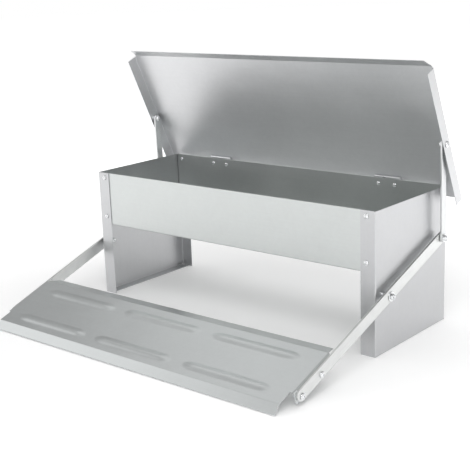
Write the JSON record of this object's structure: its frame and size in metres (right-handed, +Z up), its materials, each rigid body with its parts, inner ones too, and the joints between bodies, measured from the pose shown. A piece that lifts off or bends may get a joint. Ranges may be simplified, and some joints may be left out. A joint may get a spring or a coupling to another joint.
{
  "type": "treadle poultry feeder",
  "caption": "Sheet-metal trough feeder on two side panels with a hinged lid that levers and push rods lift when a bird stands on the front treadle.",
  "frame": {"origin": "on the ground, under the centre of the open feeder's bounding box", "axes": "+X to the right seen from the treadle, +Y to the back, +Z up"},
  "size_m": [0.6462, 0.4902, 0.4422],
  "materials": {
    "front_sheet": "galvanised sheet, semi-gloss",
    "side_sheet": "galvanised sheet, semi-gloss",
    "lid_sheet": "galvanised sheet, semi-gloss",
    "treadle_sheet": "galvanised sheet, semi-gloss",
    "zinc_bar": "zinc-plated flat bar",
    "hinge": "zinc-plated steel",
    "fastener": "bright zinc plating"
  },
  "bodies": {
    "housing": {"trough": "front_sheet", "side_panel_right": "side_sheet", "post_screw_right_upper": "fastener", "rear_rivet_right_upper": "fastener", "post_screw_right_lower": "fastener", "rear_rivet_right_lower": "fastener", "hinge_right_body_leaf": "hinge", "hinge_right_pin": "hinge", "hinge_right_body_rivet_inner": "fastener", "hinge_right_body_rivet_outer": "fastener", "pivot_bolt_right": "fastener", "pivot_spacer_right": "fastener", "pivot_washer_right": "fastener", "pivot_nut_right": "fastener", "side_panel_left": "side_sheet", "post_screw_left_upper": "fastener", "rear_rivet_left_upper": "fastener", "post_screw_left_lower": "fastener", "rear_rivet_left_lower": "fastener", "hinge_left_body_leaf": "hinge", "hinge_left_pin": "hinge", "hinge_left_body_rivet_inner": "fastener", "hinge_left_body_rivet_outer": "fastener", "pivot_bolt_left": "fastener", "pivot_spacer_left": "fastener", "pivot_washer_left": "fastener", "pivot_nut_left": "fastener"},
    "lid": {"lid": "lid_sheet", "hinge_right_lid_leaf": "hinge", "hinge_right_lid_rivet_inner": "fastener", "hinge_right_lid_rivet_outer": "fastener", "upper_link_bolt_right": "fastener", "upper_link_spacer_right": "fastener", "upper_link_nut_right": "fastener", "hinge_left_lid_leaf": "hinge", "hinge_left_lid_rivet_inner": "fastener", "hinge_left_lid_rivet_outer": "fastener", "upper_link_bolt_left": "fastener", "upper_link_spacer_left": "fastener", "upper_link_nut_left": "fastener"},
    "treadle": {"treadle": "treadle_sheet", "lever_arm_right": "zinc_bar", "treadle_bolt_right_rear": "fastener", "treadle_nut_right_rear": "fastener", "treadle_bolt_right_front": "fastener", "treadle_nut_right_front": "fastener", "lower_link_bolt_right": "fastener", "lever_arm_left": "zinc_bar", "treadle_bolt_left_rear": "fastener", "treadle_nut_left_rear": "fastener", "treadle_bolt_left_front": "fastener", "treadle_nut_left_front": "fastener", "lower_link_bolt_left": "fastener"},
    "push_rod_right": {"push_rod_right": "zinc_bar", "lower_link_nut_right": "fastener"},
    "push_rod_left": {"push_rod_left": "zinc_bar", "lower_link_nut_left": "fastener"}
  },
  "joints": [
    {"name": "lid_hinge", "type": "hinge", "parent": "housing", "child": "lid", "pos_m": [0, 0.22976, 0.2325], "axis": [1, 0, 0], "range_deg": [0, 65.5]},
    {"name": "treadle_pivot", "type": "hinge", "parent": "housing", "child": "treadle", "pos_m": [0, 0.03796, 0.0945], "axis": [-1, 0, 0], "range_deg": [0, 24.62]},
    {"name": "push_rod_right_pivot", "type": "hinge", "parent": "lid", "child": "push_rod_right", "pos_m": [0.3141, 0.18865, 0.30607], "axis": [-1, 0, 0], "range_deg": [0, 45.42]},
    {"name": "push_rod_left_pivot", "type": "hinge", "parent": "lid", "child": "push_rod_left", "pos_m": [-0.3141, 0.18865, 0.30607], "axis": [-1, 0, 0], "range_deg": [0, 45.42]}
  ],
  "couplings": [
    {"joint": "treadle_pivot", "follows": "lid_hinge", "ratio": 0.37575},
    {"joint": "push_rod_right_pivot", "follows": "lid_hinge", "ratio": 0.6933},
    {"joint": "push_rod_left_pivot", "follows": "lid_hinge", "ratio": 0.6933}
  ]
}
